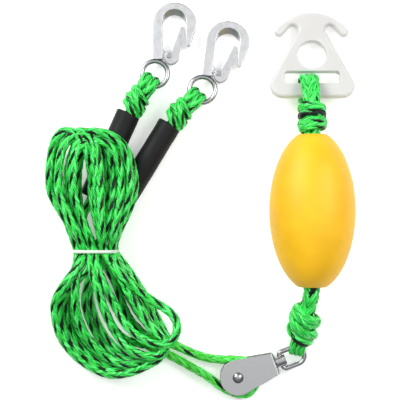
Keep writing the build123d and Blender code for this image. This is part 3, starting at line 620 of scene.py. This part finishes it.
class HARNESS_OT_tow_leg(bpy.types.Operator):
    """Lays the tow leg's thick rope, with its pleated eye, its knots and the loop round the bar"""
    bl_idname = "harness.tow_leg"
    bl_label = "Tow leg"

    def execute(self, context):
        rope = context.scene.tow_rope
        green = rope_material("pe_leg_green", rope.green)
        black = rope_material("pe_leg_black", rope.black, tracer=True)
        leg, _, up = knot_axes(TOW_BEND - TOW_CROSSING)
        centre = TOW_CROSSING + leg * 27.7
        low = TOW_CROSSING + leg * 36
        high = Vector((TOW_BEND.x, FLOAT_TOP_Y + 6, TOW_BEND.z))
        places = (low, low.lerp(TOW_BEND, 0.5), TOW_BEND - leg * 5, TOW_BEND + Vector((0, 8, 0)),
                  TOW_BEND + Vector((0, 40, 0)), high)
        run = read_route([p * MM for p in places], 14)
        piece = braid("tow_leg_rope", [run], (green, black), diameter=rope.leg_diameter, step=0.0021,
                      flat=(1.0, 1.0), pitch=0.062, tracers=(0, 3), first_normals=[up])
        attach(piece, "tow_leg")
        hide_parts("tow_rope")

        wound = winding(centre, leg, (11.0, -0.5, -11.5), (9.8, 10.2, 8.0), -20, start=160)
        knot = braid("tow_leg_knot", [wound], (green, black), diameter=0.0136, step=0.0018,
                     flat=(0.78, 1.12), pitch=0.09, tracers=(0,), first_normals=[-up])
        pleats = [eye_path(TOW_CROSSING, -leg, 6.3, 17.0, offset, 0.1) for offset in (-4.5, 0.0, 4.5)]
        eye = braid("tow_leg_eye", pleats, (green, black), diameter=0.0056, step=0.0016, flat=(0.95, 1.1),
                    pitch=0.06, tracers=(0,), first_normals=[up] * 3)
        for part, nodes in ((knot, ("tow_knot",)), (eye, ())):
            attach(part, "tow_leg")
            if nodes:
                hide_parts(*nodes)

        axis = Vector((0, math.cos(STOP_DIP), -math.sin(STOP_DIP)))
        below = -axis.cross(Vector((1, 0, 0)))
        bands = [winding(STOP_CENTRE, axis, (-10.4, -5.4), (10.2, 10.6), 4, start=150),
                 winding(STOP_CENTRE, axis, (8.0,), (10.2,), -6, start=180)]
        stop = braid("stop_knot_bands", bands, (green, black), diameter=0.0094, step=0.0016,
                     flat=(0.84, 1.12), pitch=0.06, tracers=(0, 3), first_normals=[below] * 2)
        middle = winding(STOP_CENTRE, axis, (1.2,), (11.0,), 3, start=180)
        dark = braid("stop_knot_tracer_band", [middle], (black, green), diameter=0.0078, step=0.0016,
                     flat=(0.84, 1.1), pitch=0.06, tracers=(0,), first_normals=[below])
        back = STOP_CENTRE - BAR_CENTRE
        back.x = 0
        back.normalize()
        lift = -Vector((1, 0, 0)).cross(back)
        mid_x = Vector((1.5, 0, 0))
        reach = 14.0
        points = [BAR_CENTRE + back * 32 + lift * 5 + mid_x, BAR_CENTRE + back * 22 + lift * 9 + mid_x * 0.8,
                  BAR_CENTRE + back * 10 + lift * reach + mid_x * 0.3]
        for turn in range(0, 181, 30):
            angle = math.radians(turn)
            points.append(BAR_CENTRE + lift * (reach * math.cos(angle)) - back * (reach * math.sin(angle)))
        points += [BAR_CENTRE + back * 10 - lift * reach, BAR_CENTRE + back * 22 - lift * 9 + mid_x * 0.8,
                   BAR_CENTRE + back * 32 - lift * 5 + mid_x]
        strap = read_route([p * MM for p in points], 8)
        loop = braid("connector_loop", [strap], (green, black), diameter=0.0124, step=0.0018,
                     flat=(0.50, 1.62), pitch=0.075, tracers=(0,), first_normals=[lift],
                     spread=(0.74, 0.9, 1.0, 1.05, 1.0, 0.9, 0.74))
        for part, nodes in ((stop, ("stop_knot",)), (dark, ()), (loop, ())):
            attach(part, "tow_leg")
            if nodes:
                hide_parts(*nodes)
        return {"FINISHED"}


class HARNESS_OT_sleeves(bpy.types.Operator):
    """Adds the two foam grip sleeves that slide on the rope"""
    bl_idname = "harness.sleeves"
    bl_label = "Grip sleeves"

    def execute(self, context):
        colour = context.scene.tow_gear.sleeve_colour
        foam = foam_material("nbr_foam_sleeve", colour, 0.55, 0.9, 0.00008, shine=0.2)
        # Half of the tube's section, from its bore round the rim: a distance from an end and a radius.
        section = [(2.0, 5.0), (0.4, 5.2), (0.0, 6.0), (0.0, 10.6), (0.5, 11.5), (1.6, SLEEVE_RADIUS)]
        sides, rows = 72, 44
        for side, (top, bottom) in SLEEVES.items():
            top, bottom = Vector(top), Vector(bottom)
            fall = (bottom - top).normalized()
            length = (bottom - top).length
            right = fall.cross(Vector((0, 0, 1))).normalized()
            up = right.cross(fall)
            profile = list(section)
            profile += [(1.6 + (length - 3.2) * k / rows, SLEEVE_RADIUS) for k in range(1, rows)]
            profile += [(length - distance, radius) for distance, radius in reversed(section)]
            build = bmesh.new()
            rings = []
            for distance, radius in profile:
                ring = []
                for k in range(sides):
                    turn = 2 * math.pi * k / sides
                    # Soft foam is never quite round: it swells, and the hank dents it where it presses.
                    swell = 0.10 * math.sin(distance * 0.09 + 2 * turn)
                    swell += 0.06 * math.sin(distance * 0.31 + turn)
                    dent = 0.35 * math.exp(-((distance - length * 0.72) / 12) ** 2) * max(0.0, math.cos(turn))
                    wide = radius + (swell - dent - 0.1) * (radius - 5.0) / 6.9
                    place = top + fall * distance + right * (wide * math.sin(turn))
                    place += up * (wide * math.cos(turn))
                    ring.append(build.verts.new(place * MM))
                rings.append(ring)
            for low, high in zip(rings, rings[1:] + rings[:1]):
                for k in range(sides):
                    build.faces.new((low[k], low[(k + 1) % sides], high[(k + 1) % sides], high[k]))
            bmesh.ops.recalc_face_normals(build, faces=build.faces)
            mesh = bpy.data.meshes.new(f"grip_sleeve_{side}")
            build.to_mesh(mesh)
            build.free()
            piece = bpy.data.objects.new(f"grip_sleeve_{side}", mesh)
            context.scene.collection.objects.link(piece)
            mesh.polygons.foreach_set("use_smooth", np.full(len(mesh.polygons), True))
            mesh.materials.append(foam)
            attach(piece, f"sleeve_{side}")
            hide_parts(f"sleeve_{side}")
        return {"FINISHED"}


# ------------------------------------------------------------------ materials
def uneven(tree, noise, low, high):
    """Spreads the middle part of a noise over a range."""
    return add_node(tree, "ShaderNodeMapRange", Value=noise.outputs[0], i1=0.3, i2=0.7, i3=low, i4=high)


def tinted(tree, colour, tone):
    """A colour multiplied by the value of a tone node."""
    return add_node(tree, "ShaderNodeMix", {"data_type": "RGBA", "blend_type": "MULTIPLY"}, i0=1.0, i6=colour,
                    i7=tone.outputs[0])


def rope_material(name, hex_colour, tracer=False):
    """Polyethylene strand: glossy parallel monofilaments, whose fine bright lines along each strand are
    painted highlights, with painted shade between them.
    """
    material, tree, output = new_material(name)
    uv = add_node(tree, "ShaderNodeUVMap", {"uv_map": "strand"})
    # The monofilaments' lines of painted highlight and painted shade are drawn about 0.5 mm wide, twice their
    # real width, so that they show.
    stretch = add_node(tree, "ShaderNodeMapping", i0=uv.outputs[0], Scale=(16.0, 0.9, 1.0))
    fibres_and_painted_light = add_node(tree, "ShaderNodeTexNoise", {"noise_dimensions": "2D"}, Vector=stretch.outputs[0],
                      Scale=1.0, Detail=2.0, Roughness=0.55)
    patch = add_node(tree, "ShaderNodeMapping", i0=uv.outputs[0], Scale=(1.3, 0.5, 1.0))
    shade = add_node(tree, "ShaderNodeTexNoise", {"noise_dimensions": "2D"}, Vector=patch.outputs[0],
                     Scale=1.0, Detail=1.0)
    base = linear(hex_colour)
    # low is a darkened copy of the base colour, as painted shade, and high a whitish painted highlight; the
    # fibre noise spreads them into lines.
    if tracer:
        low, high = [v * 0.4 for v in base[:3]] + [1], linear("12261A")
    else:
        low, high = [v * 0.45 for v in base[:3]] + [1], linear("74FC9C")
    fibre_painted_light_ramp = add_node(tree, "ShaderNodeValToRGB", Fac=fibres_and_painted_light.outputs[0])
    fibre_painted_light_ramp.color_ramp.elements[0].position = 0.34
    fibre_painted_light_ramp.color_ramp.elements[0].color = low
    fibre_painted_light_ramp.color_ramp.elements[1].position = 0.7
    fibre_painted_light_ramp.color_ramp.elements[1].color = high
    middle = fibre_painted_light_ramp.color_ramp.elements.new(0.5)
    middle.color = base
    tone = uneven(tree, shade, 0.82, 1.12)
    # Painted shade darkens the colour where the strands dive under each other.
    crevice_painted_shade = add_node(tree, "ShaderNodeAmbientOcclusion", {"samples": 6, "only_local": True},
                       Distance=0.0025)
    # depth turns the occlusion into a factor of painted shade, darkest in the gaps between strands.
    depth = add_node(tree, "ShaderNodeMapRange", Value=crevice_painted_shade.outputs[1], i1=0.25, i2=0.85, i3=0.35, i4=1.05)
    shaded = add_node(tree, "ShaderNodeMath", {"operation": "MULTIPLY"}, i0=tone.outputs[0],
                      i1=depth.outputs[0])
    colour = tinted(tree, fibre_painted_light_ramp.outputs[0], shaded)
    bump = add_node(tree, "ShaderNodeBump", Strength=0.35, Distance=0.00012, Height=fibres_and_painted_light.outputs[0])
    shader = add_node(tree, "ShaderNodeBsdfPrincipled", Base_Color=colour.outputs[2], Roughness=0.38,
                      IOR=1.5, Normal=bump.outputs[0])
    shader.inputs["Specular IOR Level"].default_value = 0.25 if tracer else 0.5
    tree.links.new(shader.outputs[0], output.inputs[0])
    return material


def steel_material(name, hex_colour, roughness, edge=0.0003):
    """Stainless steel: tumbled, pressed or polished, with broken edges and faintly dimpled highlights."""
    material, tree, output = new_material(name)
    place = add_node(tree, "ShaderNodeTexCoord")
    # Tumbling leaves shallow dimples of about 4 mm and a finer satin of about 0.3 mm.
    dimples = add_node(tree, "ShaderNodeTexNoise", Vector=place.outputs["Object"], Scale=240.0, Detail=2.0)
    satin = add_node(tree, "ShaderNodeTexNoise", Vector=place.outputs["Object"], Scale=3500.0, Detail=2.0)
    rough = uneven(tree, dimples, roughness * 0.8, roughness * 1.25)
    colour = tinted(tree, linear(hex_colour), uneven(tree, dimples, 0.96, 1.02))
    # Edges are broken by the radius in edge, which darkens a flat part's outline.
    edges = add_node(tree, "ShaderNodeBevel", {"samples": 8}, Radius=edge)
    fine = add_node(tree, "ShaderNodeBump", Strength=0.04, Distance=0.00005, Height=satin.outputs[0],
                    Normal=edges.outputs[0])
    bump = add_node(tree, "ShaderNodeBump", Strength=0.05, Distance=0.0002, Height=dimples.outputs[0],
                    Normal=fine.outputs[0])
    shader = add_node(tree, "ShaderNodeBsdfPrincipled", Base_Color=colour.outputs[2], Metallic=1.0,
                      Roughness=rough.outputs[0], Normal=bump.outputs[0])
    tree.links.new(shader.outputs[0], output.inputs[0])
    return material


def foam_material(name, hex_colour, roughness, cell_mm, depth, shine=0.5):
    """Closed-cell foam: a skin with fine cells, dull, with slightly uneven colour."""
    material, tree, output = new_material(name)
    place = add_node(tree, "ShaderNodeTexCoord")
    cells = add_node(tree, "ShaderNodeTexVoronoi", Vector=place.outputs["Object"], Scale=1000.0 / cell_mm)
    cloud = add_node(tree, "ShaderNodeTexNoise", Vector=place.outputs["Object"], Scale=45.0, Detail=4.0)
    colour = tinted(tree, linear(hex_colour), uneven(tree, cloud, 0.92, 1.048))
    rough = uneven(tree, cloud, roughness - 0.06, roughness + 0.06)
    bump = add_node(tree, "ShaderNodeBump", Strength=0.4, Distance=depth, Height=cells.outputs[0])
    shader = add_node(tree, "ShaderNodeBsdfPrincipled", Base_Color=colour.outputs[2],
                      Roughness=rough.outputs[0], IOR=1.48, Normal=bump.outputs[0])
    shader.inputs["Specular IOR Level"].default_value = shine
    tree.links.new(shader.outputs[0], output.inputs[0])
    return material


def nylon_material(name, hex_colour):
    """Natural moulded nylon: milky, lets light a little way in, with a low sheen from its eroded mould."""
    material, tree, output = new_material(name)
    place = add_node(tree, "ShaderNodeTexCoord")
    spark = add_node(tree, "ShaderNodeTexNoise", Vector=place.outputs["Object"], Scale=1800.0, Detail=3.0)
    cloud = add_node(tree, "ShaderNodeTexNoise", Vector=place.outputs["Object"], Scale=30.0, Detail=3.0)
    colour = tinted(tree, linear(hex_colour), uneven(tree, cloud, 0.95, 1.03))
    bump = add_node(tree, "ShaderNodeBump", Strength=0.15, Distance=0.0001, Height=spark.outputs[0])
    shader = add_node(tree, "ShaderNodeBsdfPrincipled", Base_Color=colour.outputs[2], Roughness=0.36,
                      IOR=1.53, Normal=bump.outputs[0])
    shader.inputs["Subsurface Weight"].default_value = 0.6
    shader.inputs["Subsurface Radius"].default_value = (0.006, 0.006, 0.007)
    shader.inputs["Subsurface Scale"].default_value = 1.0
    tree.links.new(shader.outputs[0], output.inputs[0])
    return material


def finish_node(name, material):
    """Gives a CAD node its material on every slot."""
    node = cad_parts[name]
    if not node.material_slots:
        node.data.materials.append(material)
    for slot in node.material_slots:
        slot.material = material


class HARNESS_OT_metal(bpy.types.Operator):
    """Finishes the hooks, rings, gates, springs, pulley block and swivel"""
    bl_idname = "harness.metal"
    bl_label = "Metal parts"

    def execute(self, context):
        cast = steel_material("cast_stainless_tumbled", "C6C7C9", 0.36, 0.0013)
        polished = steel_material("stainless_polished", "A2A4A7", 0.27)
        pressed = steel_material("stainless_pressed_satin", "B4B5B6", 0.34, 0.0007)
        gate = steel_material("stainless_pressed_gate", "C2C3C5", 0.32, 0.0006)
        for side in ("left", "right"):
            finish_node(f"hook_body_{side}", cast)
            finish_node(f"hook_ring_{side}", polished)
            finish_node(f"gate_{side}", gate)
            finish_node(f"gate_pin_{side}", polished)
            finish_node(f"gate_spring_{side}", pressed)
        finish_node("block_shell", pressed)
        for name in ("block_rivet", "swivel_stem", "swivel_eye"):
            finish_node(name, polished)
        for name in ("sheave_washers", "swivel_washer"):
            finish_node(name, gate)
        finish_node("sheave_bush", steel_material("bronze_turned", "B08A4A", 0.3))
        # Moulded acetal has the same dull, slightly uneven skin as the foam, with hardly any cells.
        finish_node("sheave", foam_material("acetal_moulded_black", "1A1A1C", 0.42, 0.8, 0.00002))
        return {"FINISHED"}


class HARNESS_OT_foam(bpy.types.Operator):
    """Finishes the foam float"""
    bl_idname = "harness.foam"
    bl_label = "Float"

    def execute(self, context):
        gear = context.scene.tow_gear
        finish_node("float", foam_material("eva_foam_float", gear.float_colour, 0.5, 1.1, 0.00006))
        return {"FINISHED"}


class HARNESS_OT_connector(bpy.types.Operator):
    """Finishes the moulded quick connector"""
    bl_idname = "harness.connector"
    bl_label = "Quick connector"

    def execute(self, context):
        colour = context.scene.tow_gear.nylon_colour
        finish_node("quick_connector", nylon_material("nylon_moulded_natural", colour))
        return {"FINISHED"}


class HARNESS_OT_stage(bpy.types.Operator):
    """Adds the pale floor, the soft lights and the camera"""
    bl_idname = "harness.stage"
    bl_label = "Stage"

    def execute(self, context):
        deselect()
        bpy.ops.mesh.primitive_plane_add(size=4.0, location=(0.0, 0.0, -0.0004))
        floor = context.active_object
        floor.name = "floor"
        material, tree, output = new_material("paper_sweep")
        shader = add_node(tree, "ShaderNodeBsdfPrincipled", Base_Color=linear("FCFCFC"), Roughness=0.8)
        shader.inputs["Emission Color"].default_value = linear("FFFFFF")
        shader.inputs["Emission Strength"].default_value = 0.3
        tree.links.new(shader.outputs[0], output.inputs[0])
        floor.data.materials.append(material)
        world = bpy.data.worlds.new("studio")
        context.scene.world = world
        context.scene.view_settings.view_transform = "Standard"
        world.use_nodes = True
        # The studio is bright overhead and darker towards the horizon, so metal edges read.
        background = world.node_tree.nodes["Background"]
        background.inputs[0].default_value = (1.0, 1.0, 1.0, 1.0)
        studio = world.node_tree
        sky = add_node(studio, "ShaderNodeTexCoord")
        split = add_node(studio, "ShaderNodeSeparateXYZ", i0=sky.outputs["Generated"])
        fade = add_node(studio, "ShaderNodeMapRange", Value=split.outputs[2], i1=0.0, i2=0.9, i3=0.04, i4=0.5)
        studio.links.new(fade.outputs[0], background.inputs[1])
        for name, place, size, power in (("key", (-0.9, 0.75, 0.95), 0.8, 19.0),
                                         ("fill", (0.85, 0.35, 1.0), 0.6, 9.0),
                                         ("top", (0.0, 0.1, 1.7), 1.4, 4.6)):
            light = bpy.data.lights.new(name, "AREA")
            light.shape = "SQUARE"
            light.size = size
            light.energy = power
            lamp = bpy.data.objects.new(name, light)
            context.scene.collection.objects.link(lamp)
            lamp.location = place
            lamp.rotation_euler = (-Vector(place)).to_track_quat("-Z", "Y").to_euler()
        data = bpy.data.cameras.new("camera")
        data.sensor_width = 36.0
        # The view is 0.388 m wide at the height of the object.
        distance = 1.2
        data.lens = data.sensor_width * distance / 0.388
        camera = bpy.data.objects.new("camera", data)
        context.scene.collection.objects.link(camera)
        camera.location = (-0.01665, -0.0012, distance + 0.02)
        context.scene.camera = camera
        return {"FINISHED"}


class HARNESS_PT_panel(bpy.types.Panel):
    """Lists the harness's operators and settings"""
    bl_label = "Boat Tow Harness"
    bl_idname = "HARNESS_PT_panel"
    bl_space_type = "VIEW_3D"
    bl_region_type = "UI"
    bl_category = "Tow Harness"

    def draw(self, context):
        layout = self.layout
        for group in (context.scene.tow_rope, context.scene.tow_gear):
            for key in group.bl_rna.properties.keys():
                if key not in ("rna_type", "name"):
                    layout.prop(group, key)
        for step in STEPS:
            layout.operator(step.bl_idname)


STEPS = (HARNESS_OT_stage, HARNESS_OT_ropes, HARNESS_OT_tie, HARNESS_OT_hook_knots, HARNESS_OT_tow_leg,
         HARNESS_OT_sleeves, HARNESS_OT_metal, HARNESS_OT_foam, HARNESS_OT_connector)
CLASSES = (TowRopeSettings, TowGearSettings, *STEPS, HARNESS_PT_panel)


def register():
    for item in CLASSES:
        bpy.utils.register_class(item)
    bpy.types.Scene.tow_rope = bpy.props.PointerProperty(type=TowRopeSettings)
    bpy.types.Scene.tow_gear = bpy.props.PointerProperty(type=TowGearSettings)


def unregister():
    del bpy.types.Scene.tow_gear
    del bpy.types.Scene.tow_rope
    for item in reversed(CLASSES):
        bpy.utils.unregister_class(item)


def main():
    register()
    for step in STEPS:
        group, _, name = step.bl_idname.partition(".")
        getattr(getattr(bpy.ops, group), name)()


if __name__ == "__main__":
    main()
